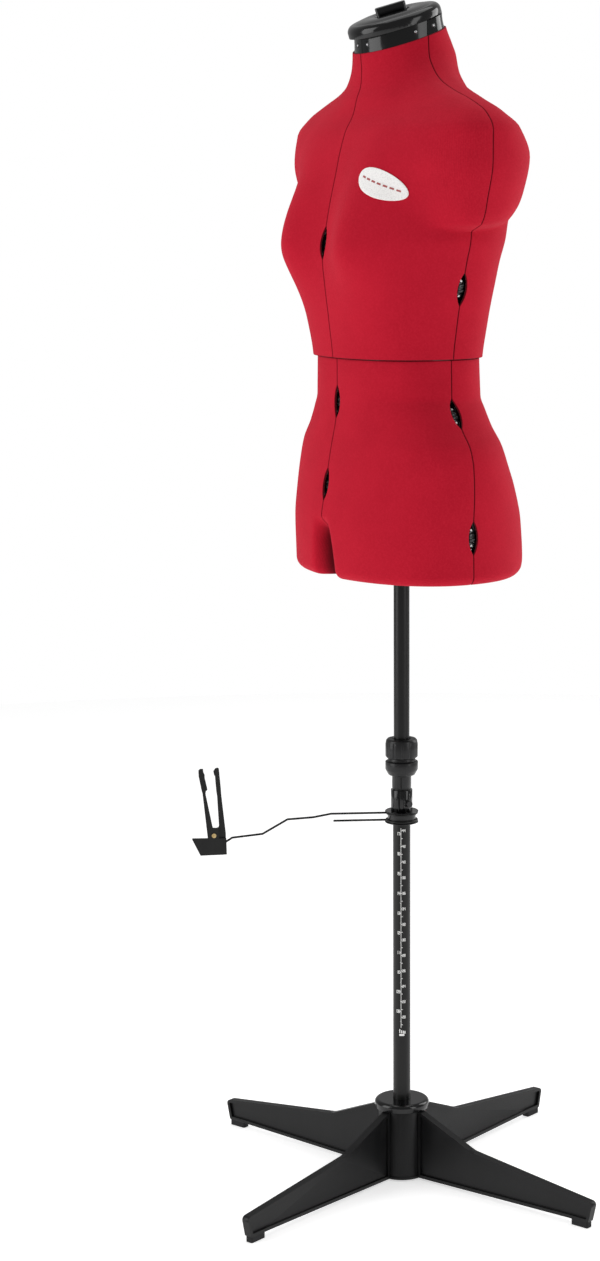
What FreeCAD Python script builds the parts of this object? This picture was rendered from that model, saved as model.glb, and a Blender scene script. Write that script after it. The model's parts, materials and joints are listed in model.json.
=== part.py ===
"""Adjustable dress form on a four-legged stand, in millimetres.

The origin is on the floor under the pole. +Z is up, the torso faces -Y and its left side is +X.
The torso is four quarter panels above the waist and four below it. Twelve thumb wheels, one in
each seam window, push neighbouring panels apart. The upper torso slides up over the lower one.
"""

import FreeCAD, Part
import math
import os

V = FreeCAD.Vector

# ---------------------------------------------------------------- driving dimensions

# stand
LEG_COUNT = 4
FIRST_LEG_ANGLE = 19.0          # degrees from +X
LEG_THICKNESS = 10.0
LEG_RIM = 4.0                   # width of the raised rim round each leg
LEG_POCKET = 3.0                # depth of the recess inside the rim, on each face
HUB_RADIUS = 29.5
HUB_BOTTOM = 1.5
HUB_TOP = 90.0
HUB_CAP_RADIUS = 34.5
HUB_CAP_TOP = 100.0
TONGUE_THICKNESS = 5.0          # the leg's tongue drops into a slot in the hub
TONGUE_RADIUS = 20.0            # distance of the tongue's bulb from the pole axis
BULB_RADIUS = 4.0
FIT = 0.1                       # radial clearance of sliding and turning fits
PAD_HEIGHT = 7.0

LOWER_POLE_RADIUS = 10.9
UPPER_POLE_RADIUS = 9.75
LOWER_POLE_BOTTOM = 12.0
LOWER_POLE_TOP = 533.0
UPPER_POLE_BOTTOM = 250.0
UPPER_POLE_TOP = 1170.0
UPPER_POLE_WALL = 1.2
PLUG_HEIGHT = 22.0
BOLT_RADIUS = 4.0

CLAMP_BOTTOM = 501.8
NUT_BOTTOM = 540.4
NUT_TOP = 563.7
NUT_RADIUS = 20.1

# skirt marker that slides on the lower pole
SLEEVE_BOTTOM = 472.6
SLEEVE_TOP = 499.6
SLEEVE_RADIUS = 13.4
SPOOL_BOTTOM = 458.0
SPOOL_RADIUS = 20.8
BARREL_RADIUS = 17.5
WIRE_RADIUS = 1.3
MARKER_ANGLE = 242.6            # direction of the marker's arm, degrees from +X
RIVET_DISTANCE = 233.0          # from the pole axis
RIVET_HEIGHT = 445.2
PRONG_TOP = 529.6
PLATE_HALF_THICKNESS = 1.0
PRONG_THICKNESS = 2.4

# torso
WAIST = 1036.0                  # lower edge of the upper panels
HEM = 773.5                     # lower edge of the lower panels
LIP_RADIUS = 12.0               # the lower edge curls in
COVER_THICKNESS = 2.5           # foam-backed fabric
SHELL_THICKNESS = 2.5
SKIN_GAP = 0.1                  # between the cover and the shell
SEAM_GAP = 0.8                  # between neighbouring panels when closed
STUB_TOP = 1090.0               # the lower shells go on up inside the upper ones
COVER_TOP_LOWER = 1035.4
NECK_COVER_TOP = 1410.5         # height of the cover's upper edge beside the neck
NECK_SHELL_TOP = 1427.5
NECK_TILT = 19.0                # degrees, front edge lower
LENGTH_TRAVEL = 40.0            # of the upper torso over the lower one
PANEL_COLUMNS = 26              # lines the surface of each panel is drawn through

# half width, front depth, back depth and squareness of the upper torso at each height
UPPER_STATIONS = [
    (1025, 113.5, 96, 81, 2.35), (1080, 122.5, 101.5, 86, 2.35), (1120, 133, 106, 91, 2.35),
    (1150, 142, 108, 96, 2.3), (1180, 151, 104, 102, 2.3), (1225, 148, 96, 114, 2.3),
    (1265, 146, 86, 124, 2.3), (1295, 140, 75, 118, 2.2), (1320, 124, 66, 98, 2.1),
    (1338, 100, 62, 83, 2.0), (1355, 80, 56, 75, 2.0), (1372, 67, 55, 69, 2.0),
    (1390, 60, 56.5, 67, 2.0), (1405, 58.5, 57, 60, 2.0), (1428, 57.5, 61, 46, 2.0),
    (1450, 57, 61.5, 40, 2.0),
]
# the same for the hips, down to the lower edge
LOWER_STATIONS = [
    (756, 160, 110, 126, 2.15), (795, 159, 112, 136, 2.15), (838, 158, 114, 133, 2.15),
    (880, 160, 108, 120, 2.15), (910, 158.5, 103, 107, 2.15), (932, 152, 99, 98, 2.2),
    (955, 133, 94, 88, 2.3), (975, 119, 91, 82, 2.4), (990, 111, 90.5, 79, 2.4),
    (1100, 109.5, 90.5, 76.5, 2.35),
]
# half width, front depth and back depth of the bar from one arm stump to the other
SHOULDER_STATIONS = [
    (1182, 115, 38, 40), (1188, 156, 50, 70), (1194, 172, 58, 85), (1225, 185, 73, 107),
    (1265, 195, 82, 112), (1300, 195, 74, 90), (1320, 180, 58, 63), (1335, 148, 47, 49),
    (1347, 112, 42, 47), (1360, 82, 40, 42), (1375, 64, 40, 42), (1390, 52, 40, 42),
]
SHOULDER_SQUARENESS = 2.4
SHOULDER_BLEND = 12.0           # the higher, the sharper the fold where the shoulder meets the neck
ARMPIT_BLEND = 22.0             # and where the stump meets the chest
STUMP_RISE = 12.0               # the stump's underside is higher at the back

BREAST_DEPTH = 28.0
BREAST_OFFSET = 70.0            # from the centre line
BREAST_WIDTH = 44.0
BREAST_HEIGHT = 1174.0
BREAST_RISE = 84.0              # how far it fades out upwards
BREAST_FALL = 54.0              # and downwards

CLEFT_TOP = 850.0               # the hollow between the thighs starts here
CLEFT_BOTTOM = 814.0            # and has its full depth from here down
CLEFT_DEPTH = {-1: 32.0, 1: 13.0}
CLEFT_WIDTH = (12.0, 17.0)      # at the top and at the lower edge

# adjusting wheels
WHEEL_RADIUS = 18.5
WHEEL_THICKNESS = 7.0
WHEEL_DEPTH = 21.0              # of its centre below the torso's surface
WHEEL_NOTCHES = 18
SPINDLE_RADIUS = 2.6
SPINDLE_HALF = 41.0
WINDOW_HALF_WIDTH = 6.0
WINDOW_HALF_HEIGHT = 20.0
NUT_NEAR = 7.0                  # each panel's nut lies between these distances from the seam
NUT_FAR = 15.0
FORK_NEAR = 4.0                 # the carriage's fork holds the spindle between these
FORK_FAR = 6.6
WHEEL_HEIGHTS = {               # height of each window on the torso's surface
    "bust": {"front": 1171.0, "back": 1171.0, "left": 1118.0, "right": 1118.0},
    "waist": {"front": 984.0, "back": 984.0, "left": 973.0, "right": 973.0},
    "hip": {"front": 886.0, "back": 886.0, "left": 830.0, "right": 830.0},
}
DIRECTION_ANGLE = {"left": 0.0, "back": 90.0, "right": 180.0, "front": 270.0}

# inner frame
ROD_RADIUS = 3.5
ROD_OFFSET = 22.0               # of each guide rod from the pole axis
ROD_REACH = 36.0                # how far a rod goes past the pole axis
POST_WIDTH = 14.0
LOWER_ROD_HEIGHTS = {"front": 905.0, "back": 955.0, "left": 880.0, "right": 930.0}
UPPER_ROD_HEIGHTS = {"front": 1128.0, "back": 1154.0, "left": 1110.0, "right": 1142.0}
HIP_TUBE_BOTTOM = 800.0
HIP_TUBE_TOP = 1120.0
HIP_TUBE_RADIUS = 13.0
BUST_TUBE_BOTTOM = 1040.0
BUST_TUBE_TOP = 1186.0
BUST_TUBE_RADIUS = 17.0
NECK_POST_RADIUS = 8.0
NECK_POST_TOP = 1396.0
CAP_RADIUS = 57.0
CAP_SHIFT = -8.0                # of the cap's centre, towards the front
KNOB_RADIUS = 21.0
KNOB_BAR_ANGLE = 58.0


# ---------------------------------------------------------------- small helpers

def write(name, shape):
    if not shape.isValid():
        print("not valid:", name)
    shape.exportStep("parts/" + name + ".step")


def turned(profile):
    """Solid of revolution about the pole axis from (radius, height) points."""
    wire = Part.makePolygon([V(r, 0, z) for r, z in profile + profile[:1]])
    return Part.Face(wire).revolve(V(0, 0, 0), V(0, 0, 1), 360)


def tube(outer, inner, bottom, top):
    ring = Part.makeCylinder(outer, top - bottom, V(0, 0, bottom))
    if inner <= 0:
        return ring
    return ring.cut(Part.makeCylinder(inner, top - bottom + 2, V(0, 0, bottom - 1)))


def rounded_wire(points, radii):
    """Closed wire in the XZ plane through (x, z) corners, each rounded to its own radius."""
    corners = [V(x, 0, z) for x, z in points]
    count = len(corners)
    starts, ends, middles = [], [], []
    for i, corner in enumerate(corners):
        back = (corners[i - 1] - corner).normalize()
        ahead = (corners[(i + 1) % count] - corner).normalize()
        half = back.getAngle(ahead) / 2
        run = radii[i] / math.tan(half) if radii[i] else 0.0
        centre_way = (back + ahead).normalize()
        starts.append(corner + back * run)
        ends.append(corner + ahead * run)
        middles.append(corner + centre_way * (radii[i] / math.sin(half) - radii[i]))
    edges = []
    for i in range(count):
        if radii[i]:
            edges.append(Part.Arc(starts[i], middles[i], ends[i]).toShape())
        edges.append(Part.LineSegment(ends[i], starts[(i + 1) % count]).toShape())
    return Part.Wire(edges)


def at_angle(shape, degrees):
    turned_shape = shape.copy()
    turned_shape.rotate(V(0, 0, 0), V(0, 0, 1), degrees)
    return turned_shape


def block(x0, x1, y0, y1, z0, z1):
    return Part.makeBox(x1 - x0, y1 - y0, z1 - z0, V(x0, y0, z0))


def rod(start, end, radius):
    way = end - start
    return Part.makeCylinder(radius, way.Length, start, way)


# ---------------------------------------------------------------- torso surface

def smooth(stations, z, column):
    """Value of a column at height z: a curve through the stations that never overshoots."""
    heights = [row[0] for row in stations]
    if z <= heights[0]:
        return stations[0][column]
    if z >= heights[-1]:
        return stations[-1][column]
    i = max(k for k, height in enumerate(heights) if height <= z)

    def slope(k):
        if k in (0, len(stations) - 1):
            return 0.0
        below = heights[k] - heights[k - 1]
        above = heights[k + 1] - heights[k]
        rise_below = (stations[k][column] - stations[k - 1][column]) / below
        rise_above = (stations[k + 1][column] - stations[k][column]) / above
        if rise_below * rise_above <= 0:
            return 0.0
        return 3 * (below + above) / ((2 * above + below) / rise_below + (above + 2 * below) / rise_above)

    span = heights[i + 1] - heights[i]
    t = (z - heights[i]) / span
    start, end = stations[i][column], stations[i + 1][column]
    return (
        start * (1 + 2 * t) * (1 - t) ** 2
        + end * t * t * (3 - 2 * t)
        + span * t * (1 - t) * (slope(i) * (1 - t) - slope(i + 1) * t)
    )


def bell(u):
    return math.exp(-u * u)


def ramp(u):
    u = min(max(u, 0.0), 1.0)
    return u * u * (3 - 2 * u)


def oval_radius(half_x, half_y, squareness, c, s):
    return ((abs(c) / half_x) ** squareness + (abs(s) / half_y) ** squareness) ** (-1 / squareness)


def upper_outline(face, angle, z):
    """(x, y) distances from the axis, on the front (face -1) or back (face 1), angle 0 at the side."""
    c, s = math.cos(angle), math.sin(angle)
    depth = 2 if face < 0 else 3
    radius = oval_radius(smooth(UPPER_STATIONS, z, 1), smooth(UPPER_STATIONS, z, depth),
                         smooth(UPPER_STATIONS, z, 4), c, s)
    level = z - STUMP_RISE * s if face > 0 else z
    if level > SHOULDER_STATIONS[0][0]:
        bar = oval_radius(smooth(SHOULDER_STATIONS, level, 1), smooth(SHOULDER_STATIONS, level, depth),
                          SHOULDER_SQUARENESS, c, s)
        power = SHOULDER_BLEND + (ARMPIT_BLEND - SHOULDER_BLEND) * ramp((1310.0 - z) / 60.0)
        radius = (radius ** power + bar ** power) ** (1 / power)
    x, y = radius * c, radius * s
    if face < 0:
        away = z - BREAST_HEIGHT
        swell = BREAST_DEPTH * bell(away / (BREAST_RISE if away > 0 else BREAST_FALL))
        y += swell * bell((x - BREAST_OFFSET) / BREAST_WIDTH) * min(1.0, 1.6 * s)
    return x, y


def lower_outline(face, angle, z):
    c, s = math.cos(angle), math.sin(angle)
    radius = oval_radius(smooth(LOWER_STATIONS, z, 1), smooth(LOWER_STATIONS, z, 2 if face < 0 else 3),
                         smooth(LOWER_STATIONS, z, 4), c, s)
    x, y = radius * c, radius * s
    top, bottom = CLEFT_WIDTH
    width = bottom + (top - bottom) * ramp((z - HEM) / (CLEFT_TOP - HEM))
    hollow = CLEFT_DEPTH[face] * ramp((CLEFT_TOP - z) / (CLEFT_TOP - CLEFT_BOTTOM))
    y -= hollow * math.exp(-(x / width) ** 3)
    return x, y


def spaced(start, stop, count):
    return [start + (stop - start) * i / (count - 1) for i in range(count)]


def upper_levels(neck_top):
    """Rows of the upper panels as (height, inset, tilt); the rows tilt with the neck."""
    heights = spaced(WAIST, 1170.0, 9) + spaced(1179.0, 1209.0, 11) + spaced(1225.0, 1310.0, 7)
    heights += spaced(1320.0, 1348.0, 6) + spaced(1357.0, neck_top, 6)
    neck_start = 1350.0
    slope = math.tan(math.radians(NECK_TILT))
    return [(z, 0.0, slope * ramp((z - neck_start) / (neck_top - neck_start))) for z in heights]


def lower_levels(top):
    """Rows of the lower panels; the first ones curl in under the lower edge."""
    rows = []
    for lip_angle in spaced(78.0, 13.0, 6):
        curl = math.radians(lip_angle)
        rows.append((HEM + LIP_RADIUS * (1 - math.sin(curl)), LIP_RADIUS * (1 - math.cos(curl)), 0.0))
    heights = spaced(HEM + LIP_RADIUS, 860.0, 14) + spaced(870.0, 900.0, 3)
    heights += spaced(915.0, 1000.0, 9) + spaced(1015.0, top, 3)
    return rows + [(z, 0.0, 0.0) for z in heights]


def surface_point(outline, face, angle, levels, row):
    i = min(int(row), len(levels) - 2)
    t = row - i
    z, inset, tilt = [a + (b - a) * t for a, b in zip(levels[i], levels[i + 1])]
    height = z
    x, y = outline(face, angle, height)
    if tilt:
        for _ in range(5):
            height = z + tilt * face * y
            x, y = outline(face, angle, height)
    keep = 1 - inset / math.hypot(x, y)
    return V(x * keep, y * keep, height)


def offset_point(outline, face, angle, levels, row, depth):
    """Point below the surface by depth, on the quarter where x and y are both positive."""
    small = 0.01
    last = len(levels) - 1
    right_angle = math.pi / 2
    a0, a1 = max(angle - small, 0.0), min(angle + small, right_angle)
    r0, r1 = max(row - small * 5, 0.0), min(row + small * 5, last)
    along = surface_point(outline, face, a1, levels, row) - surface_point(outline, face, a0, levels, row)
    up = surface_point(outline, face, angle, levels, r1) - surface_point(outline, face, angle, levels, r0)
    normal = along.cross(up)
    if angle == 0.0:
        normal.y = 0.0
    if angle == right_angle:
        normal.x = 0.0
    normal.normalize()
    point = surface_point(outline, face, angle, levels, row) - normal * depth
    level, _, tilt = levels[row]
    if tilt:
        point.z = level + tilt * face * point.y
    return point


def spline(points, parameters):
    curve = Part.BSplineCurve()
    curve.interpolate(Points=points, Parameters=parameters)
    return curve


def skin(grid, across, along):
    """Smooth surface through a grid of points, given the parameters of its lines both ways."""
    lines = [spline(line, along) for line in grid]
    pole_rows = [line.getPoles() for line in lines]
    columns = [spline([row[k] for row in pole_rows], across) for k in range(len(pole_rows[0]))]
    pole_columns = [column.getPoles() for column in columns]
    poles = [[column[i] for column in pole_columns] for i in range(len(pole_columns[0]))]
    surface = Part.BSplineSurface()
    surface.buildFromPolesMultsKnots(
        poles, columns[0].getMultiplicities(), lines[0].getMultiplicities(),
        columns[0].getKnots(), lines[0].getKnots(), False, False, 3, 3)
    return surface


def row_parameters(levels):
    """Distance up the wall of each row."""
    found = [0.0]
    for (z0, inset0, _), (z1, inset1, _) in zip(levels, levels[1:]):
        found.append(found[-1] + math.hypot(z1 - z0, inset1 - inset0))
    return found


def panel(outline, face, side, levels, outer_depth, inner_depth):
    """One quarter of the torso's wall between two depths below the surface."""
    angles = [math.pi / 2 * (1 - (1 - t) ** 1.6) for t in spaced(0.0, 1.0, PANEL_COLUMNS)]

    def grid(depth):
        rows = []
        for angle in angles:
            line = []
            for row in range(len(levels)):
                p = offset_point(outline, face, angle, levels, row, depth)
                line.append(V(side * (p.x + SEAM_GAP / 2), face * (p.y + SEAM_GAP / 2), p.z))
            rows.append(line)
        return skin(rows, angles, row_parameters(levels))

    outer, inner = grid(outer_depth), grid(inner_depth)
    faces = [outer.toShape(), inner.toShape()]
    u0, u1, v0, v1 = outer.bounds()
    for u in (u0, u1):
        faces.append(Part.makeRuledSurface(outer.uIso(u).toShape(), inner.uIso(u).toShape()))
    for v in (v0, v1):
        faces.append(Part.makeRuledSurface(outer.vIso(v).toShape(), inner.vIso(v).toShape()))
    wall = Part.makeCompound(faces)
    wall.sewShape()
    solid = Part.makeSolid(wall.Shells[0])
    if solid.Volume < 0:
        solid.reverse()
    return solid


# ---------------------------------------------------------------- wheels and their windows

def half_of(level):
    return upper_outline if level == "bust" else lower_outline


def seam_radius(direction, outline, z, across=0.0):
    """Distance of the torso's surface from the axis, at a small distance beside a seam."""
    face = 1 if direction == "back" else -1
    low, high = (0.0, math.pi / 4) if direction in ("left", "right") else (math.pi / 4, math.pi / 2)
    for _ in range(40):
        middle = (low + high) / 2
        x, y = outline(face, middle, z)
        if direction in ("left", "right"):
            low, high = (middle, high) if y < across else (low, middle)
        else:
            low, high = (middle, high) if x > across else (low, middle)
    x, y = outline(face, high if direction in ("front", "back") else low, z)
    return x if direction in ("left", "right") else y


def wheel_seat(direction, level):
    """Radius and height of a wheel's centre, and the radial and vertical parts of the surface normal."""
    outline, z = half_of(level), WHEEL_HEIGHTS[level][direction]
    radius = seam_radius(direction, outline, z)
    lean = (seam_radius(direction, outline, z + 3) - seam_radius(direction, outline, z - 3)) / 6
    length = math.hypot(1, lean)
    normal_r, normal_z = 1 / length, -lean / length
    return radius - normal_r * WHEEL_DEPTH, z - normal_z * WHEEL_DEPTH, normal_r, normal_z


def wheel_frame(direction, level):
    """Placement whose X crosses the seam, Y points out of the torso and Z runs up the seam."""
    radius, z, normal_r, normal_z = wheel_seat(direction, level)
    turn = math.radians(DIRECTION_ANGLE[direction])
    way = V(round(math.cos(turn)), round(math.sin(turn)), 0)
    across = way.cross(V(0, 0, 1))
    out = way * normal_r + V(0, 0, normal_z)
    up = across.cross(out)
    centre = way * radius + V(0, 0, z)
    return FreeCAD.Placement(FreeCAD.Matrix(
        across.x, out.x, up.x, centre.x,
        across.y, out.y, up.y, centre.y,
        across.z, out.z, up.z, centre.z,
        0, 0, 0, 1))


def placed(shape, frame):
    moved = shape.copy()
    moved.Placement = frame
    return moved


def wheel():
    disc = Part.makeCylinder(WHEEL_RADIUS, WHEEL_THICKNESS, V(-WHEEL_THICKNESS / 2, 0, 0), V(1, 0, 0))
    for side in (-1, 1):
        start = V(side * (WHEEL_THICKNESS / 2 - 1.0), 0, 0)
        dish = Part.makeCylinder(WHEEL_RADIUS - 4.0, 2.0, start, V(side, 0, 0))
        disc = disc.cut(dish)
    for i in range(WHEEL_NOTCHES):
        turn = 2 * math.pi * i / WHEEL_NOTCHES
        reach = WHEEL_RADIUS + 0.7
        centre = V(-WHEEL_THICKNESS, reach * math.cos(turn), reach * math.sin(turn))
        disc = disc.cut(Part.makeCylinder(1.7, 2 * WHEEL_THICKNESS, centre, V(1, 0, 0)))
    return disc.fuse(rod(V(-SPINDLE_HALF, 0, 0), V(SPINDLE_HALF, 0, 0), SPINDLE_RADIUS))


def window_cutter():
    """Almond-shaped prism through the panels round a wheel's rim."""
    tip, side = WINDOW_HALF_HEIGHT, WINDOW_HALF_WIDTH
    start = 9.0
    arcs = [
        Part.Arc(V(0, start, -tip), V(side, start, 0), V(0, start, tip)).toShape(),
        Part.Arc(V(0, start, tip), V(-side, start, 0), V(0, start, -tip)).toShape(),
    ]
    return Part.Face(Part.Wire(arcs)).extrude(V(0, 26.0, 0))


def nut_block(direction, level, sign):
    """Boss inside a panel that the spindle's thread runs in, at one side of the wheel."""
    radius, _, normal_r, _ = wheel_seat(direction, level)
    outline, z = half_of(level), WHEEL_HEIGHTS[level][direction]
    centre = seam_radius(direction, outline, z)
    drop = min((seam_radius(direction, outline, z, c) - centre) * normal_r for c in (NUT_NEAR, NUT_FAR))
    reach = WHEEL_DEPTH - COVER_THICKNESS - SKIN_GAP - 0.6 + drop
    start = NUT_NEAR if sign > 0 else -NUT_FAR
    return block(start, start + NUT_FAR - NUT_NEAR, -5.5, reach, -6.5, 6.5)


def nut_bore(sign):
    return rod(V(sign * (NUT_NEAR - 1), 0, 0), V(sign * (NUT_FAR + 1), 0, 0), SPINDLE_RADIUS + 0.15)


def panel_windows(face, side, levels):
    """(direction, level, sign) of each window at this quarter's two seams."""
    centre_seam = "front" if face < 0 else "back"
    side_seam = "left" if side > 0 else "right"
    found = []
    for level in levels:
        across = wheel_frame(centre_seam, level).Rotation.multVec(V(1, 0, 0))
        found.append((centre_seam, level, 1 if across.x * side > 0 else -1))
        across = wheel_frame(side_seam, level).Rotation.multVec(V(1, 0, 0))
        found.append((side_seam, level, 1 if across.y * face > 0 else -1))
    return found


def make_panels(part_name, outline, window_levels, cover_rows, shell_rows):
    shell_outer = COVER_THICKNESS + SKIN_GAP
    shell_inner = shell_outer + SHELL_THICKNESS
    for face, face_name in ((-1, "front"), (1, "back")):
        for side, side_name in ((1, "left"), (-1, "right")):
            name = "_".join((part_name, face_name, side_name))
            windows = panel_windows(face, side, window_levels)
            cover = panel(outline, face, side, cover_rows, 0.0, COVER_THICKNESS)
            shell = panel(outline, face, side, shell_rows, shell_outer, shell_inner)
            for direction, level, sign in windows:
                frame = wheel_frame(direction, level)
                cutter = placed(window_cutter(), frame)
                cover = cover.cut(cutter)
                shell = shell.cut(cutter)
                shell = shell.fuse(placed(nut_block(direction, level, sign), frame))
                shell = shell.cut(placed(nut_bore(sign), frame))
            write("shell_" + name, shell)
            write("cover_" + name, cover)


def make_wheels():
    for level, heights in WHEEL_HEIGHTS.items():
        for direction in heights:
            write("_".join(("wheel", direction, level)), placed(wheel(), wheel_frame(direction, level)))


# ---------------------------------------------------------------- inner frame

def make_carriage(part_name, direction, window_levels, rod_height):
    """Fork for the wheels of one seam, on two guide rods that slide in the inner frame."""
    seats = [wheel_seat(direction, level)[:2] for level in window_levels]
    bar_out = min(radius for radius, _ in seats) - WHEEL_RADIUS - 1.5
    bar_in = bar_out - 6.0
    heights = [z for _, z in seats] + [rod_height]
    shape = block(bar_in, bar_out, -8, 8, min(heights) - 8, max(heights) + 8)
    shape = shape.fuse(block(bar_in, bar_out, -28, 28, rod_height - 7, rod_height + 7))
    for radius, z in seats:
        for sign in (-1, 1):
            near, far = sorted((sign * FORK_NEAR, sign * FORK_FAR))
            shape = shape.fuse(block(bar_in, radius, near, far, z - 6, z + 6))
            shape = shape.fuse(rod(V(radius, near, z), V(radius, far, z), 6.0))
    for sign in (-1, 1):
        start = V(-ROD_REACH, sign * ROD_OFFSET, rod_height)
        shape = shape.fuse(rod(start, V(bar_in + 1, sign * ROD_OFFSET, rod_height), ROD_RADIUS))
    for radius, z in seats:
        bore = rod(V(radius, -FORK_FAR - 1, z), V(radius, FORK_FAR + 1, z), SPINDLE_RADIUS + FIT)
        shape = shape.cut(bore)
    write("_".join(("carriage", part_name, direction)), at_angle(shape, DIRECTION_ANGLE[direction]))


def guide_block(rod_heights, tube_radius):
    """Four posts round the pole, joined to it by webs, with a bore for every guide rod."""
    bottom = min(rod_heights.values()) - 12
    top = max(rod_heights.values()) + 12
    half = POST_WIDTH / 2
    shape = None
    for quarter in range(4):
        post = block(ROD_OFFSET - half, ROD_OFFSET + half, ROD_OFFSET - half, ROD_OFFSET + half, bottom, top)
        web = at_angle(block(tube_radius - 2, ROD_OFFSET * math.sqrt(2), -2.5, 2.5, bottom, top), 45)
        corner = at_angle(post.fuse(web), 90 * quarter)
        shape = corner if shape is None else shape.fuse(corner)
    return shape


def guide_bores(rod_heights):
    bores = []
    reach = ROD_OFFSET + POST_WIDTH
    for direction, height in rod_heights.items():
        for sign in (-1, 1):
            aside = sign * ROD_OFFSET
            bore = rod(V(-reach, aside, height), V(reach, aside, height), ROD_RADIUS + FIT)
            bores.append(at_angle(bore, DIRECTION_ANGLE[direction]))
    return bores


def make_frames():
    flange_radius = 16.0
    flange_top = 1000.0
    hip = tube(HIP_TUBE_RADIUS, 0, HIP_TUBE_BOTTOM, HIP_TUBE_TOP)
    hip = hip.fuse(tube(flange_radius, 0, HIP_TUBE_BOTTOM, flange_top))
    hip = hip.fuse(guide_block(LOWER_ROD_HEIGHTS, flange_radius))
    hip = hip.cut(Part.makeCylinder(UPPER_POLE_RADIUS + FIT, 400, V(0, 0, HIP_TUBE_BOTTOM - 10)))
    for bore in guide_bores(LOWER_ROD_HEIGHTS):
        hip = hip.cut(bore)
    write("hip_frame", hip)

    bust = tube(BUST_TUBE_RADIUS, 0, BUST_TUBE_BOTTOM, BUST_TUBE_TOP)
    bust = bust.fuse(guide_block(UPPER_ROD_HEIGHTS, BUST_TUBE_RADIUS))
    bust = bust.cut(Part.makeCylinder(HIP_TUBE_RADIUS + FIT, BUST_TUBE_TOP - 6 - BUST_TUBE_BOTTOM + 1,
                                      V(0, 0, BUST_TUBE_BOTTOM - 1)))
    bust = bust.fuse(tube(NECK_POST_RADIUS, 0, BUST_TUBE_TOP - 1, NECK_POST_TOP))
    for bore in guide_bores(UPPER_ROD_HEIGHTS):
        bust = bust.cut(bore)
    write("bust_frame", bust)

    for direction in DIRECTION_ANGLE:
        make_carriage("lower", direction, ("waist", "hip"), LOWER_ROD_HEIGHTS[direction])
        make_carriage("upper", direction, ("bust",), UPPER_ROD_HEIGHTS[direction])


# ---------------------------------------------------------------- neck

def neck_frame():
    slope = math.tan(math.radians(NECK_TILT))
    centre = V(0, CAP_SHIFT, NECK_SHELL_TOP + slope * CAP_SHIFT)
    return FreeCAD.Placement(centre, FreeCAD.Rotation(V(1, 0, 0), NECK_TILT))


def make_neck():
    """Domed cap on the neck post, and the knob on top of it."""
    shaft = 6.0
    seat = 11.5
    rim = CAP_RADIUS
    points = [V(0, 0, 1), V(0, 0, -6), V(36, 0, -6), V(36, 0, 0.4), V(rim, 0, 0.4), V(rim, 0, 5.5)]
    lines = [Part.LineSegment(a, b).toShape() for a, b in zip(points, points[1:])]
    shoulder = V(rim - 9.0, 0, 14.2)
    lip = V(KNOB_RADIUS + 0.3, 0, 15.8)
    lines.append(Part.Arc(points[-1], V(rim - 2.4, 0, 11.6), shoulder).toShape())
    lines.append(Part.Arc(shoulder, V(35, 0, 16.6), lip).toShape())
    inner = [lip, V(lip.x, 0, seat), V(shaft + FIT, 0, seat), V(shaft + FIT, 0, 1), V(0, 0, 1)]
    lines += [Part.LineSegment(a, b).toShape() for a, b in zip(inner, inner[1:])]
    cap = Part.Face(Part.Wire(lines)).revolve(V(0, 0, 0), V(0, 0, 1), 360)
    cap = placed(cap, neck_frame())
    boss = tube(NECK_POST_RADIUS + 3, 0, NECK_POST_TOP, NECK_SHELL_TOP - 5)
    write("neck_cap", cap.fuse(boss))

    knob = tube(KNOB_RADIUS, 0, seat + 0.2, seat + 3.2)
    knob = knob.fuse(tube(shaft, 0, 1.5, seat + 1))
    half_length, half_width, top = 18.5, 4.5, 25.5
    grip = block(-half_length, half_length, -half_width, half_width, seat + 2, top)
    upright = [edge for edge in grip.Edges if abs(edge.Vertexes[0].Z - edge.Vertexes[1].Z) > 1]
    grip = grip.makeFillet(3.5, upright)
    rim_edges = [edge for edge in grip.Edges if abs(edge.BoundBox.ZMin - top) < 0.01]
    grip = at_angle(grip.makeFillet(1.5, rim_edges), KNOB_BAR_ANGLE)
    write("neck_knob", placed(knob.fuse(grip), neck_frame()))


# ---------------------------------------------------------------- stand

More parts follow.
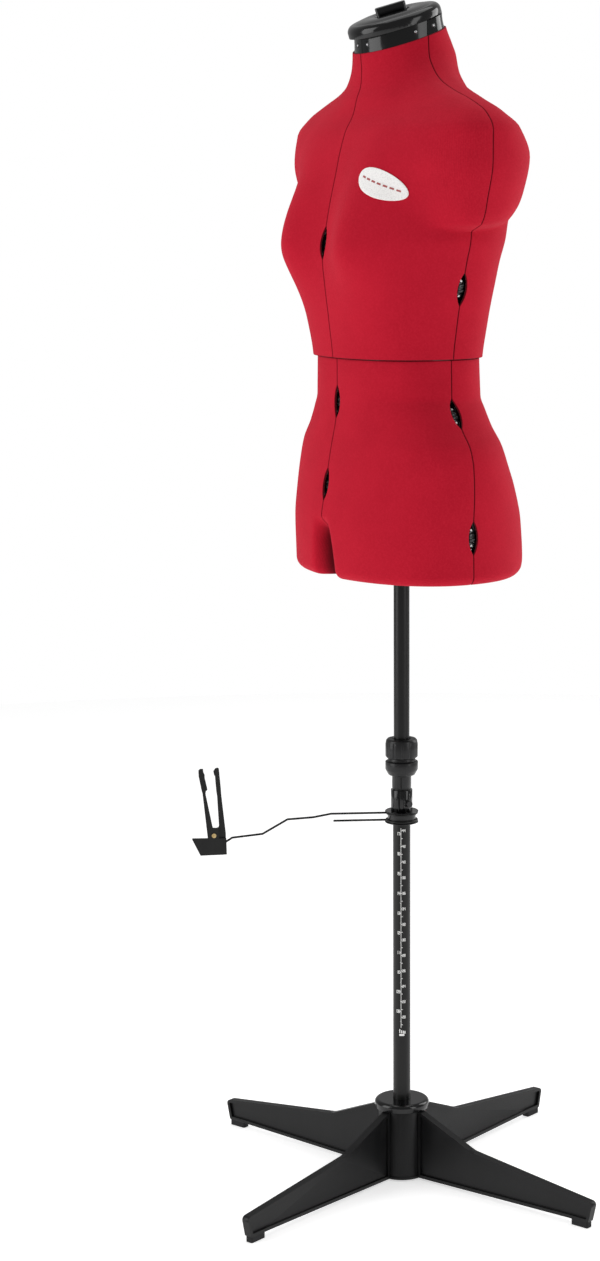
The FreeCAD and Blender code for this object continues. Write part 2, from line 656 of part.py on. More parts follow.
def make_base():
    hub = turned([
        (0, HUB_BOTTOM), (31, HUB_BOTTOM), (31, 4.5), (HUB_RADIUS, 5.5), (HUB_RADIUS, HUB_TOP), (0, HUB_TOP),
    ])
    hub = hub.cut(Part.makeCylinder(LOWER_POLE_RADIUS, 100, V(0, 0, LOWER_POLE_BOTTOM)))
    hub = hub.cut(Part.makeCylinder(8.5, 6.5, V(0, 0, HUB_BOTTOM - 0.5)))
    hub = hub.cut(Part.makeCylinder(BOLT_RADIUS, 20, V(0, 0, 0)))
    tongue_bottom, tongue_top = 12.0, 88.0
    slot_half = TONGUE_THICKNESS / 2 + FIT
    slot = block(TONGUE_RADIUS, 40, -slot_half, slot_half, tongue_bottom, 100)
    slot = slot.fuse(Part.makeCylinder(BULB_RADIUS + FIT, 100, V(TONGUE_RADIUS, 0, tongue_bottom)))

    root = HUB_RADIUS + 0.2
    corners = [
        (root, 2.0), (262, PAD_HEIGHT), (291, PAD_HEIGHT), (297, 33), (114, 55), (root, HUB_TOP - 0.5),
    ]
    outline = rounded_wire(corners, [0, 60, 2.5, 5, 30, 0])
    leg = Part.Face(outline).extrude(V(0, LEG_THICKNESS, 0))
    leg.translate(V(0, -LEG_THICKNESS / 2, 0))
    recess_face = Part.Face(outline.makeOffset2D(-LEG_RIM))
    for y in (-LEG_THICKNESS / 2 - 1, LEG_THICKNESS / 2 - LEG_POCKET):
        recess = recess_face.extrude(V(0, LEG_POCKET + 1, 0))
        recess.translate(V(0, y, 0))
        leg = leg.cut(recess)
    half = TONGUE_THICKNESS / 2
    leg = leg.fuse(block(TONGUE_RADIUS, root + 1, -half, half, tongue_bottom, tongue_top))
    bulb = Part.makeCylinder(BULB_RADIUS, tongue_top - tongue_bottom, V(TONGUE_RADIUS, 0, tongue_bottom))
    leg = leg.fuse(bulb)

    pad = block(266, 290, -LEG_THICKNESS / 2, LEG_THICKNESS / 2, 0, PAD_HEIGHT)
    pad = pad.makeFillet(2.0, [edge for edge in pad.Edges if edge.BoundBox.ZLength > 1])
    pads = []
    for i in range(LEG_COUNT):
        angle = FIRST_LEG_ANGLE + i * 360.0 / LEG_COUNT
        hub = hub.cut(at_angle(slot, angle))
        write("base_leg_%d" % (i + 1), at_angle(leg, angle))
        pads.append(at_angle(pad, angle))
    write("base_hub", hub)
    write("foot_pads", Part.makeCompound(pads))

    cap = tube(HUB_CAP_RADIUS, 0, HUB_TOP, HUB_CAP_TOP)
    top_edge = [edge for edge in cap.Edges if abs(edge.BoundBox.ZMin - HUB_CAP_TOP) < 0.01]
    cap = cap.makeFillet(5.0, top_edge)
    write("hub_cap", cap.cut(Part.makeCylinder(LOWER_POLE_RADIUS, 30, V(0, 0, HUB_TOP - 5))))

    bolt = tube(7.0, 0, 2.0, 7.5).fuse(tube(BOLT_RADIUS, 0, 2.0, 30.0))
    recess = Part.makeBox(5, 5, 3, V(-2.5, -2.5, 1.0))
    write("hub_bolt", bolt.cut(recess))


def make_poles():
    lower = tube(LOWER_POLE_RADIUS, UPPER_POLE_RADIUS + FIT, LOWER_POLE_BOTTOM + PLUG_HEIGHT, LOWER_POLE_TOP)
    lower = lower.fuse(tube(LOWER_POLE_RADIUS, 0, LOWER_POLE_BOTTOM, LOWER_POLE_BOTTOM + PLUG_HEIGHT))
    lower = lower.cut(Part.makeCylinder(BOLT_RADIUS, 20, V(0, 0, LOWER_POLE_BOTTOM - 1)))
    write("lower_pole", lower)

    upper = tube(UPPER_POLE_RADIUS, 0, UPPER_POLE_BOTTOM, UPPER_POLE_TOP)
    upper = upper.fuse(tube(UPPER_POLE_RADIUS + 3.2, 0, HIP_TUBE_BOTTOM - 3.2, HIP_TUBE_BOTTOM - 0.1))
    bore = UPPER_POLE_RADIUS - UPPER_POLE_WALL
    write("upper_pole", upper.cut(Part.makeCylinder(bore, 1000, V(0, 0, UPPER_POLE_BOTTOM - 10))))


def make_clamp():
    """Split collet and threaded nut that hold the upper pole at its height."""
    stem, ring, waist, thread = 11.9, 20.2, 17.0, 14.0
    inner = UPPER_POLE_RADIUS + FIT
    stub_top = 557.0
    body = turned([
        (inner, LOWER_POLE_TOP), (inner, stub_top), (thread, stub_top), (thread, 540.0), (waist, 540.0),
        (waist, 536.5), (ring, 535.0), (ring, 525.4), (16.4, 518.5), (stem, 517.0), (stem, CLAMP_BOTTOM),
        (LOWER_POLE_RADIUS, CLAMP_BOTTOM), (LOWER_POLE_RADIUS, LOWER_POLE_TOP),
    ])
    split = at_angle(block(0, 30, -0.6, 0.6, CLAMP_BOTTOM - 1, 516.0), -35)
    write("clamp_body", body.cut(split))

    collet = turned([(inner, stub_top + 0.1), (13.2, stub_top + 0.1), (11.4, 561.0), (inner, 561.0)])
    write("clamp_collet", collet.cut(block(0, 20, -0.8, 0.8, 550, 570)))

    nut = turned([
        (thread + FIT, NUT_BOTTOM), (NUT_RADIUS - 1.2, NUT_BOTTOM), (NUT_RADIUS, NUT_BOTTOM + 1.5),
        (NUT_RADIUS, 557.0), (NUT_RADIUS - 1.0, 562.0), (NUT_RADIUS - 2.6, NUT_TOP), (12.2, NUT_TOP),
        (inner + 0.4, 561.4), (12.0, 561.4), (thread + FIT, 557.2),
    ])
    flutes = 12
    for i in range(flutes):
        flute = Part.makeCylinder(2.6, 30, V(NUT_RADIUS + 1.9, 0, NUT_BOTTOM - 1))
        nut = nut.cut(at_angle(flute, 360.0 * i / flutes))
    write("clamp_nut", nut)


# ---------------------------------------------------------------- skirt marker

def make_marker_sleeve():
    inner = LOWER_POLE_RADIUS + FIT
    sleeve = tube(SLEEVE_RADIUS, inner, SLEEVE_BOTTOM + 0.1, SLEEVE_TOP)
    screw_height = 483.7
    ear = rod(V(inner + 0.6, 0, screw_height), V(15.4, 0, screw_height), 4.6)
    slit = at_angle(block(5, 20, -0.7, 0.7, SLEEVE_BOTTOM, SLEEVE_TOP + 1), -45)
    bore = rod(V(0, 0, screw_height), V(30, 0, screw_height), 2.0)
    write("marker_sleeve", sleeve.fuse(ear).cut(slit).cut(bore))

    screw = rod(V(inner + 0.3, 0, screw_height), V(17, 0, screw_height), 1.9)
    head = rod(V(15.7, 0, screw_height), V(19.2, 0, screw_height), 4.0)
    for i in range(10):
        turn = 2 * math.pi * i / 10
        groove = rod(V(15, 4.4 * math.cos(turn), screw_height + 4.4 * math.sin(turn)),
                     V(20, 4.4 * math.cos(turn), screw_height + 4.4 * math.sin(turn)), 0.7)
        head = head.cut(groove)
    write("marker_screw", screw.fuse(head))

    b = SPOOL_BOTTOM
    spool = turned([
        (inner, b), (SPOOL_RADIUS, b), (SPOOL_RADIUS, b + 1.1), (BARREL_RADIUS, b + 1.3),
        (BARREL_RADIUS, b + 13.3), (SPOOL_RADIUS, b + 13.5), (SPOOL_RADIUS, b + 14.2),
        (SPOOL_RADIUS - 0.6, SLEEVE_BOTTOM), (inner, SLEEVE_BOTTOM),
    ])
    write("marker_spool", spool)


def bent_wire(points):
    """Round wire along straight runs, with a ball at each bend."""
    shape = rod(points[0], points[1], WIRE_RADIUS)
    for a, b in zip(points[1:], points[2:]):
        shape = shape.fuse(Part.makeSphere(WIRE_RADIUS, a)).fuse(rod(a, b, WIRE_RADIUS))
    return shape


def make_marker_arm():
    """Wires from the spool to a plate with two prongs, drawn along +X and then turned."""
    coil = BARREL_RADIUS + WIRE_RADIUS + 0.1
    high, low = SPOOL_BOTTOM + 11.8, SPOOL_BOTTOM + 2.8
    route = [(coil, high), (88, 469.8), (110, 465.8), (142, 463.8), (173, 446), (210.5, 442), (219.6, 436.2)]
    wire = Part.makeTorus(coil, WIRE_RADIUS, V(0, 0, high))
    wire = wire.fuse(bent_wire([V(x, 0, z) for x, z in route]))
    short = Part.makeTorus(coil, WIRE_RADIUS, V(0, 0, low))
    short = short.fuse(bent_wire([V(coil, 0, low), V(85, 0, low)]))
    write("marker_wires", at_angle(Part.makeCompound([wire, short]), MARKER_ANGLE))

    thickness = 2 * PLATE_HALF_THICKNESS
    plate_corners = [(250, 420), (217.4, 420.8), (217.8, 441.6), (260.7, 442)]
    plate = Part.Face(rounded_wire(plate_corners, [1, 1, 1, 1])).extrude(V(0, thickness, 0))
    jaw_corners = [
        (240.4, 438), (227, 438), (227, 454.6), (234.2, 455), (234.8, 457), (242.8, 498), (242.4, 501.5),
        (240.4, 503.5), (242.6, 514), (243.6, 518), (243.6, 522), (245.2, 525.5), (245.5, PRONG_TOP),
        (249.2, PRONG_TOP), (251.3, PRONG_TOP - 2), (251, 520), (247.6, 502.5), (246.6, 499),
    ]
    jaw = Part.Face(rounded_wire(jaw_corners, [0] * len(jaw_corners))).extrude(V(0, thickness, 0))
    bore = rod(V(RIVET_DISTANCE, -5, RIVET_HEIGHT), V(RIVET_DISTANCE, 5, RIVET_HEIGHT), 1.5)
    plate = plate.fuse(jaw)
    plate.translate(V(0, -PLATE_HALF_THICKNESS, 0))
    write("marker_plate", at_angle(plate.cut(bore), MARKER_ANGLE))

    front = -PLATE_HALF_THICKNESS - 0.2
    prong_corners = [
        (238, 438.6), (218.4, 438.6), (218.3, 447), (223.4, 496), (223.8, 503.5), (226, PRONG_TOP - 0.6),
        (227.4, PRONG_TOP + 0.8), (230.4, PRONG_TOP), (232.9, 526), (232.1, 521.8), (230.9, 519.6),
        (230.5, 513), (229.6, 501.5), (228.6, 494), (226.8, 457), (227.6, 454.8), (236, 453),
    ]
    outline = rounded_wire(prong_corners, [0] * len(prong_corners))
    prong = Part.Face(outline).extrude(V(0, PRONG_THICKNESS, 0))
    prong.translate(V(0, front - PRONG_THICKNESS, 0))
    hole = rod(V(RIVET_DISTANCE, -9, RIVET_HEIGHT), V(RIVET_DISTANCE, 5, RIVET_HEIGHT), 1.5 + FIT)
    write("marker_prong", at_angle(prong.cut(hole), MARKER_ANGLE))

    front_head = front - PRONG_THICKNESS - 0.1
    back = PLATE_HALF_THICKNESS
    rivet = rod(V(RIVET_DISTANCE, front_head, RIVET_HEIGHT), V(RIVET_DISTANCE, 2, RIVET_HEIGHT), 1.5)
    for near, far in ((front_head - 1, front_head), (back, back + 1)):
        head = rod(V(RIVET_DISTANCE, near, RIVET_HEIGHT), V(RIVET_DISTANCE, far, RIVET_HEIGHT), 2.8)
        rivet = rivet.fuse(head)
    write("marker_rivet", at_angle(rivet, MARKER_ANGLE))


# ---------------------------------------------------------------- build

os.makedirs("parts", exist_ok=True)
make_base()
make_poles()
make_clamp()
make_marker_sleeve()
make_marker_arm()
make_frames()
make_neck()
make_wheels()
make_panels("upper", upper_outline, ("bust",), upper_levels(NECK_COVER_TOP), upper_levels(NECK_SHELL_TOP))
make_panels("lower", lower_outline, ("waist", "hip"), lower_levels(COVER_TOP_LOWER), lower_levels(STUB_TOP))
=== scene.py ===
"""Dress form on a stand: fabric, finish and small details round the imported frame, in metres."""

import json
import math

import bmesh
import bpy
import numpy as np
from mathutils import Matrix, Vector


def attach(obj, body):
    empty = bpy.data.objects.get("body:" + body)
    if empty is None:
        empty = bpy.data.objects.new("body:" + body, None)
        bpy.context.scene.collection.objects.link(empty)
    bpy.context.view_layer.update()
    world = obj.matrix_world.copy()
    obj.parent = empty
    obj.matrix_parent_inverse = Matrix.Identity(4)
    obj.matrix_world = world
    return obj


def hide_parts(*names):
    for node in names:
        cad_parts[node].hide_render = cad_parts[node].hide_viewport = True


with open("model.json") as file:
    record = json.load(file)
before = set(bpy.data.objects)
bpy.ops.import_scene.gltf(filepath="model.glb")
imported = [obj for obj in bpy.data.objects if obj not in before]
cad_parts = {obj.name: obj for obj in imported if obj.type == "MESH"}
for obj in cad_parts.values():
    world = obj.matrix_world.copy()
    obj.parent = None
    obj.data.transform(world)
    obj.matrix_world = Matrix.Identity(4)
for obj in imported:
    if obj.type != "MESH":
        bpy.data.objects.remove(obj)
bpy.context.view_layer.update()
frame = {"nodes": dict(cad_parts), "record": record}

MM = 0.001


# ---------------------------------------------------------------- torso shape, in millimetres

HEM, LIP_RADIUS, WAIST, COVER_TOP_LOWER = 773.5, 12.0, 1036.0, 1035.4
NECK_COVER_TOP, NECK_SHELL_TOP, NECK_TILT = 1410.5, 1427.5, 19.0
COVER, SEAM_GAP, COVER_GAP = 2.5, 0.8, 0.3      # the fabric's thickness, the shells' gap, the fabric's
NECK_START = 1350.0                             # the rows above this height tilt with the neck
# height, half width, front depth, back depth, squareness
UPPER = np.array([
    (1025, 113.5, 96, 81, 2.35), (1080, 122.5, 101.5, 86, 2.35), (1120, 133, 106, 91, 2.35),
    (1150, 142, 108, 96, 2.3), (1180, 151, 104, 102, 2.3), (1225, 148, 96, 114, 2.3),
    (1265, 146, 86, 124, 2.3), (1295, 140, 75, 118, 2.2), (1320, 124, 66, 98, 2.1),
    (1338, 100, 62, 83, 2.0), (1355, 80, 56, 75, 2.0), (1372, 67, 55, 69, 2.0),
    (1390, 60, 56.5, 67, 2.0), (1405, 58.5, 57, 60, 2.0), (1428, 57.5, 61, 46, 2.0),
    (1450, 57, 61.5, 40, 2.0),
], float)
LOWER = np.array([
    (756, 160, 110, 126, 2.15), (795, 159, 112, 136, 2.15), (838, 158, 114, 133, 2.15),
    (880, 160, 108, 120, 2.15), (910, 158.5, 103, 107, 2.15), (932, 152, 99, 98, 2.2),
    (955, 133, 94, 88, 2.3), (975, 119, 91, 82, 2.4), (990, 111, 90.5, 79, 2.4),
    (1100, 109.5, 90.5, 76.5, 2.35),
], float)
SHOULDER = np.array([
    (1182, 115, 38, 40, 2.4), (1188, 156, 50, 70, 2.4), (1194, 172, 58, 85, 2.4), (1225, 185, 73, 107, 2.4),
    (1265, 195, 82, 112, 2.4), (1300, 195, 74, 90, 2.4), (1320, 180, 58, 63, 2.4),
    (1335, 148, 47, 49, 2.4), (1347, 112, 42, 47, 2.4), (1360, 82, 40, 42, 2.4),
    (1375, 64, 40, 42, 2.4), (1390, 52, 40, 42, 2.4),
], float)
SHOULDER_BLEND, ARMPIT_BLEND, STUMP_RISE = 12.0, 22.0, 12.0
BLEND_TOP, BLEND_SPAN = 1310.0, 60.0            # from the shoulder's fold down to the armpit's
BREAST = dict(depth=28.0, x=70.0, width=44.0, z=1174.0, rise=84.0, fall=54.0)
CLEFT_TOP, CLEFT_BOTTOM, CLEFT_WIDTH = 850.0, 814.0, (12.0, 17.0)
CLEFT_DEPTH = {-1: 32.0, 1: 13.0}
WHEEL_DEPTH, WHEEL_RADIUS = 21.0, 18.5
WINDOW_HALF_WIDTH, WINDOW_HALF_HEIGHT = 6.0, 20.0
WHEEL_HEIGHTS = {
    "bust": {"front": 1171.0, "back": 1171.0, "left": 1118.0, "right": 1118.0},
    "waist": {"front": 984.0, "back": 984.0, "left": 973.0, "right": 973.0},
    "hip": {"front": 886.0, "back": 886.0, "left": 830.0, "right": 830.0},
}
SIDES = {"left": 0.0, "back": 90.0, "right": 180.0, "front": 270.0}


def column(stations, z, k):
    """One column of a table at heights z, along a curve that never overshoots."""
    x, y = stations[:, 0], stations[:, k]
    h, d = np.diff(x), np.diff(y) / np.diff(x)
    m = np.zeros(len(x))
    for i in range(1, len(x) - 1):
        if d[i - 1] * d[i] > 0:
            m[i] = 3 * (h[i - 1] + h[i]) / ((2 * h[i] + h[i - 1]) / d[i - 1] + (h[i] + 2 * h[i - 1]) / d[i])
    z = np.clip(z, x[0], x[-1])
    i = np.clip(np.searchsorted(x, z, side="right") - 1, 0, len(h) - 1)
    t = (z - x[i]) / h[i]
    return (y[i] * (1 + 2 * t) * (1 - t) ** 2 + y[i + 1] * t * t * (3 - 2 * t)
            + h[i] * t * (1 - t) * (m[i] * (1 - t) - m[i + 1] * t))


def ramp(u):
    u = np.clip(u, 0.0, 1.0)
    return u * u * (3 - 2 * u)


def oval(stations, face, z, c, s):
    a, b = column(stations, z, 1), column(stations, z, 2 if face < 0 else 3)
    n = column(stations, z, 4)
    return ((c / a) ** n + (s / b) ** n) ** (-1 / n)


def upper_outline(face, angle, z):
    """(x, y) from the axis on the front (-1) or back (1), angle 0 at the side seam, 90 at the centre."""
    c, s = np.cos(angle).clip(0), np.sin(angle).clip(0)
    r = oval(UPPER, face, z, c, s)
    level = z - STUMP_RISE * s if face > 0 else z + 0.0 * s
    bar = np.where(level > SHOULDER[0, 0], oval(SHOULDER, face, level, c, s), 0.0)
    power = SHOULDER_BLEND + (ARMPIT_BLEND - SHOULDER_BLEND) * ramp((BLEND_TOP - z) / BLEND_SPAN)
    r = (r ** power + bar ** power) ** (1 / power)
    x, y = r * c, r * s
    if face < 0:
        away = z - BREAST["z"]
        swell = BREAST["depth"] * np.exp(-(away / np.where(away > 0, BREAST["rise"], BREAST["fall"])) ** 2)
        y = y + swell * np.exp(-((x - BREAST["x"]) / BREAST["width"]) ** 2) * np.minimum(1.0, 1.6 * s)
    return x, y


def cleft(face, x, z):
    """Depth of the hollow between the thighs."""
    top, bottom = CLEFT_WIDTH
    width = bottom + (top - bottom) * ramp((z - HEM) / (CLEFT_TOP - HEM))
    hollow = CLEFT_DEPTH[face] * ramp((CLEFT_TOP - z) / (CLEFT_TOP - CLEFT_BOTTOM))
    return hollow * np.exp(-(x / width) ** 3)


def lower_outline(face, angle, z):
    c, s = np.cos(angle).clip(0), np.sin(angle).clip(0)
    r = oval(LOWER, face, z, c, s)
    x, y = r * c, r * s
    return x, y - cleft(face, x, z)


def placer(outline, face, neck_top=None):
    """Function of (angle, height, inset) to points in the quarter where x and y are positive."""
    slope = math.tan(math.radians(NECK_TILT))

    def place(angle, z, inset):
        height = z
        x, y = outline(face, angle, height)
        if neck_top:
            tilt = slope * ramp((z - NECK_START) / (neck_top - NECK_START))
            for _ in range(5):
                height = z + tilt * face * y
                x, y = outline(face, angle, height)
        keep = 1 - inset / np.hypot(x, y)
        return np.stack([x * keep, y * keep, height + 0 * x], -1)
    return place


def seam_radius(direction, outline, z, across=0.0):
    face = 1 if direction == "back" else -1
    sideways = direction in ("left", "right")
    low, high = (0.0, math.pi / 4) if sideways else (math.pi / 4, math.pi / 2)
    for _ in range(40):
        mid = (low + high) / 2
        x, y = outline(face, np.array(mid), np.array(z))
        inside = y < across if sideways else x > across
        low, high = (mid, high) if inside else (low, mid)
    x, y = outline(face, np.array(low if sideways else high), np.array(z))
    return float(x if sideways else y)


def wheel_seat(direction, level):
    outline = upper_outline if level == "bust" else lower_outline
    z = WHEEL_HEIGHTS[level][direction]
    r = seam_radius(direction, outline, z)
    lean = (seam_radius(direction, outline, z + 3) - seam_radius(direction, outline, z - 3)) / 6
    size = math.hypot(1, lean)
    return r - WHEEL_DEPTH / size, z + WHEEL_DEPTH * lean / size, 1 / size, -lean / size


def wheel_frame(direction, level):
    """Matrix whose X crosses the seam, Y points out of the torso and Z runs up the seam, in mm."""
    r, z, nr, nz = wheel_seat(direction, level)
    turn = math.radians(SIDES[direction])
    way = Vector((round(math.cos(turn)), round(math.sin(turn)), 0))
    across = way.cross(Vector((0, 0, 1)))
    out = way * nr + Vector((0, 0, nz))
    up = across.cross(out)
    m = Matrix((across, out, up)).transposed().to_4x4()
    m.translation = way * r + Vector((0, 0, z))
    return m


# ---------------------------------------------------------------- materials

def linear(r, g, b):
    def one(v):
        v /= 255.0
        return v / 12.92 if v <= 0.04045 else ((v + 0.055) / 1.055) ** 2.4
    return (one(r), one(g), one(b), 1.0)


class Finish:
    """A node material, built up from a Principled shader and the piece's own coordinates in metres."""

    def __init__(self, name, **constants):
        self.material = bpy.data.materials.new(name)
        self.material.use_nodes = True
        self.tree = self.material.node_tree
        self.shader = self.tree.nodes["Principled BSDF"]
        for key, value in constants.items():
            self.shader.inputs[key.replace("_", " ")].default_value = value
        self.where = self.tree.nodes.new("ShaderNodeTexCoord").outputs["Object"]

    def node(self, kind, **settings):
        made = self.tree.nodes.new(kind)
        for key, value in settings.items():
            setattr(made, key, value)
        return made

    def link(self, a, b):
        self.tree.links.new(a, b)

    def put(self, socket, value):
        if isinstance(value, bpy.types.NodeSocket):
            self.link(value, socket)
        else:
            socket.default_value = value

    def noise(self, scale, detail=3.0, rough=0.55, stretch=None):
        made = self.node("ShaderNodeTexNoise")
        made.inputs["Scale"].default_value = scale
        made.inputs["Detail"].default_value = detail
        made.inputs["Roughness"].default_value = rough
        where = self.where
        if stretch:
            mapping = self.node("ShaderNodeMapping")
            mapping.inputs["Scale"].default_value = stretch
            self.link(where, mapping.inputs["Vector"])
            where = mapping.outputs["Vector"]
        self.link(where, made.inputs["Vector"])
        return made.outputs["Fac"]

    def math(self, operation, a, b=0.0, clamp=False):
        made = self.node("ShaderNodeMath", operation=operation, use_clamp=clamp)
        self.put(made.inputs[0], a)
        self.put(made.inputs[1], b)
        return made.outputs[0]

    def spread(self, value, low, high, out_low=0.0, out_high=1.0):
        made = self.node("ShaderNodeMapRange")
        keys = ("Value", "From Min", "From Max", "To Min", "To Max")
        for key, v in zip(keys, (value, low, high, out_low, out_high)):
            self.put(made.inputs[key], v)
        return made.outputs["Result"]

    def mix(self, factor, a, b):
        made = self.node("ShaderNodeMix", data_type="RGBA")
        self.put(made.inputs["Factor"], factor)
        self.put(made.inputs[6], a)
        self.put(made.inputs[7], b)
        return made.outputs[2]

    def attribute(self, name):
        return self.node("ShaderNodeAttribute", attribute_name=name).outputs["Fac"]

    def bump(self, height, strength, distance, under=None):
        made = self.node("ShaderNodeBump")
        made.inputs["Strength"].default_value = strength
        made.inputs["Distance"].default_value = distance
        self.link(height, made.inputs["Height"])
        if under:
            self.link(under, made.inputs["Normal"])
        return made.outputs["Normal"]

    def done(self, colour=None, roughness=None, normal=None):
        if colour is not None:
            self.put(self.shader.inputs["Base Color"], colour)
        if roughness is not None:
            self.put(self.shader.inputs["Roughness"], roughness)
        if normal is not None:
            self.link(normal, self.shader.inputs["Normal"])
        return self.material


TORSO_RADIUS, WALE_PITCH, COURSE_PITCH = 0.140, 0.0013, 0.0011


def knit_material():
    """Fine red jersey over thin foam: ribs of stitches, soft mottling, darker where it turns into a seam,
    and painted shade deep in the cleft between the thighs.
    """
    f = Finish("red_knit", Sheen_Weight=0.12, Sheen_Roughness=0.5, Sheen_Tint=(1.0, 0.22, 0.28, 1.0),
               Specular_IOR_Level=0.10)
    parts = f.node("ShaderNodeSeparateXYZ")
    f.link(f.where, parts.inputs[0])
    turn = f.math("ARCTAN2", parts.outputs[1], parts.outputs[0])
    wale = f.math("SINE", f.math("MULTIPLY", turn, TORSO_RADIUS * 2 * math.pi / WALE_PITCH))
    lean = f.math("MULTIPLY", f.math("ABSOLUTE", wale), 1.5)
    rise = f.math("MULTIPLY", parts.outputs[2], 2 * math.pi / COURSE_PITCH)
    course = f.math("SINE", f.math("ADD", rise, lean))
    stitch = f.math("ADD", f.math("MULTIPLY", wale, 0.35), f.math("MULTIPLY", course, 0.3))
    fibre = f.noise(1500.0, 2.0, 0.6)
    cloud = f.noise(26.0, 3.0, 0.5)
    fleck = f.noise(420.0, 2.0, 0.6)
    red = f.mix(f.spread(cloud, 0.30, 0.70), linear(178, 17, 40), linear(185, 20, 43))
    red = f.mix(f.spread(fleck, 0.40, 0.72, 0.0, 0.30), red, linear(206, 36, 58))
    red = f.mix(f.spread(stitch, -0.6, 0.5, 0.20, 0.0), red, linear(112, 8, 22))
    # painted shade: near-black red deep in the cleft between the thighs, and darker red along the seam edges
    red = f.mix(f.math("MULTIPLY", f.attribute("seam_and_cleft_shade"), 0.88, clamp=True), red, linear(62, 2, 10))
    tall = f.math("ADD", f.math("MULTIPLY", stitch, 0.5), fibre)
    soft = f.bump(cloud, 0.05, 0.003)
    return f.done(red, f.spread(fibre, 0.3, 0.7, 0.78, 0.95), f.bump(tall, 0.35, 0.00035, soft))


def edge_material():
    """Cut edge and lining of the cover: a duller, darker red."""
    f = Finish("red_lining", Specular_IOR_Level=0.15, Sheen_Weight=0.15)
    grain = f.noise(900.0, 2.0)
    red = f.mix(grain, linear(92, 6, 20), linear(128, 14, 30))
    return f.done(red, f.spread(grain, 0.3, 0.7, 0.85, 0.97), f.bump(grain, 0.3, 0.0003))


def plastic(name, shade, rough, grain_scale, grain, coat=0.0, light=None):
    """Moulded black plastic: fine grain, faint smears, and a paler bloom on the smears."""
    f = Finish(name, Specular_IOR_Level=0.24, Coat_Weight=coat, Coat_Roughness=0.06)
    smear = f.noise(34.0, 4.0, 0.6, (1.0, 1.0, 0.35))
    fine = f.noise(grain_scale, 2.0, 0.5)
    dust = f.noise(190.0, 5.0, 0.7)
    dark = linear(shade, shade, shade + 1)
    pale = linear(*(light or (shade + 16, shade + 16, shade + 17)))
    colour = f.mix(f.spread(dust, 0.58, 0.80, 0.0, 0.5), f.mix(f.spread(smear, 0.3, 0.75), dark, pale), pale)
    roughness = f.math("ADD", f.spread(smear, 0.3, 0.7, rough - 0.05, rough + 0.07),
                       f.spread(dust, 0.55, 0.8, 0.0, 0.10))
    return f.done(colour, roughness, f.bump(fine, grain, 0.0002))


def metal(name, dark, light, rough, scale=240.0, stretch=(1.0, 1.0, 0.15)):
    f = Finish(name, Metallic=1.0)
    lines = f.noise(scale, 3.0, 0.6, stretch)
    spots = f.noise(90.0, 3.0)
    colour = f.mix(f.spread(spots, 0.35, 0.7), dark, light)
    return f.done(colour, f.spread(lines, 0.3, 0.7, rough - 0.08, rough + 0.12), f.bump(lines, 0.15, 0.0002))


def paint(name, shade, rough, coat=0.08):
    """Black stoved paint on steel tube, with a little orange peel and long faint rub marks."""
    f = Finish(name, Specular_IOR_Level=0.24, Coat_Weight=coat, Coat_Roughness=0.12)
    peel = f.noise(520.0, 2.0)
    rub = f.noise(60.0, 4.0, 0.65, (1.0, 1.0, 0.05))
    dark, pale = linear(shade, shade, shade), linear(shade + 14, shade + 14, shade + 13)
    colour = f.mix(f.spread(rub, 0.45, 0.8), dark, pale)
    return f.done(colour, f.spread(rub, 0.3, 0.75, rough, rough + 0.14), f.bump(peel, 0.10, 0.0002))


def print_material(name, colour):
    f = Finish(name, Specular_IOR_Level=0.4)
    worn = f.noise(700.0, 3.0, 0.6)
    faded = tuple(v * 0.78 for v in colour[:3]) + (1.0,)
    return f.done(f.mix(f.spread(worn, 0.45, 0.75), colour, faded), f.spread(worn, 0.3, 0.7, 0.4, 0.6),
                  f.bump(worn, 0.1, 0.0001))


KNIT, LINING = knit_material(), edge_material()
GLOSS = plastic("gloss_black", 4, 0.16, 260.0, 0.04, coat=0.3, light=(9, 9, 10))
SATIN = plastic("satin_black", 10, 0.36, 900.0, 0.22, light=(22, 22, 23))
LEG = plastic("leg_black", 8, 0.38, 1300.0, 0.28, light=(18, 18, 19))
GRIP = plastic("grip_black", 14, 0.40, 1100.0, 0.30, coat=0.15, light=(25, 25, 26))
WHEEL = plastic("wheel_gloss", 12, 0.20, 900.0, 0.10, coat=0.4, light=(24, 24, 25))
INNER = plastic("inner_black", 22, 0.45, 700.0, 0.20)
RUBBER = plastic("rubber_black", 24, 0.78, 500.0, 0.5)
POLE = paint("pole_paint", 9, 0.30)
WIRE = paint("wire_paint", 16, 0.34, 0.1)
PLATE = paint("plate_paint", 16, 0.42, 0.05)
ZINC = metal("zinc_steel", linear(150, 150, 152), linear(196, 196, 198), 0.30)
BRASS = metal("brass", linear(150, 122, 72), linear(222, 200, 152), 0.28)
WHITE = print_material("white_print", linear(236, 236, 234))
DOT = print_material("white_dot", linear(253, 253, 251))
MARK = print_material("red_print", linear(168, 84, 84))
ENAMEL = print_material("white_enamel", linear(243, 241, 239))

SLOT_FINISH = {
    "stand_black": LEG, "rubber_pad": RUBBER, "gloss_black": GLOSS, "zinc": ZINC, "pole_black": POLE,
    "clamp_collet": SATIN, "wire": WIRE, "marker_plate": PLATE, "brass": BRASS, "inner_plastic": INNER,
    "wheel_black": WHEEL, "red_knit": KNIT,
}


# ---------------------------------------------------------------- making pieces

def new_piece(name, points, faces, material, body, slot=None, smooth=True, more=()):
    """Mesh object in metres from points in millimetres."""
    mesh = bpy.data.meshes.new(name)
    mesh.from_pydata([tuple(p) for p in np.asarray(points, float) * MM], [], [tuple(f) for f in faces])
    mesh.validate()
    for m in (material, *more):
        mesh.materials.append(m)
    mesh.shade_smooth() if smooth else mesh.shade_flat()
    piece = bpy.data.objects.new(name, mesh)
    bpy.context.scene.collection.objects.link(piece)
    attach(piece, body)
    return piece


